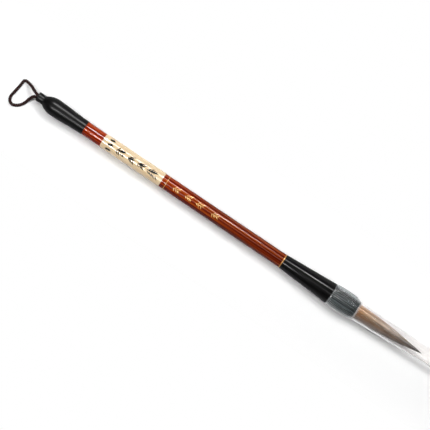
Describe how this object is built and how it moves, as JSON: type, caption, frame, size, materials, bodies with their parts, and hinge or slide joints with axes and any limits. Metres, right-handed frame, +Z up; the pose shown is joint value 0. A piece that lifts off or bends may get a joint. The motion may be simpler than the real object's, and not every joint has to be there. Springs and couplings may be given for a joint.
{
  "type": "calligraphy brush",
  "caption": "Chinese calligraphy brush with hanging loop, black bulb, red lacquered wooden shaft, flared ferrule, pointed hair and a clear ribbed cap that slides off.",
  "frame": {"origin": "on the table, under the middle of the brush with its cap on, cord left out", "axes": "+X along the brush to the hair, +Z up from the table, the cord loop lies mostly towards -Y"},
  "size_m": [0.3022, 0.0202, 0.0142],
  "materials": {
    "cord": "dark brown twisted cord",
    "black_horn": "black, satin gloss",
    "red_wood": "red-brown, grained, lacquered",
    "label_paper": "cream, coated paper",
    "gold": "polished gold",
    "core_hair": "dark brown hair, soft sheen",
    "mantle_hair": "golden brown hair, soft sheen",
    "thread": "undyed thread",
    "rosin": "amber rosin",
    "clear_plastic": "clear, glossy"
  },
  "bodies": {
    "brush": {"hanging_loop": "cord", "cord_knot": "cord", "hanger_plug": "black_horn", "tail_bulb": "black_horn", "shaft": "red_wood", "label_sleeve": "label_paper", "gold_ring": "gold", "ferrule": "black_horn", "hair_core": "core_hair", "hair_mantle": "mantle_hair", "root_binding": "thread", "rosin_plug": "rosin"},
    "cap": {"cap": "clear_plastic"}
  },
  "joints": [
    {"name": "cap_slide", "type": "slide", "parent": "brush", "child": "cap", "axis": [1, 0, 0], "range_m": [0, 0.075]}
  ]
}
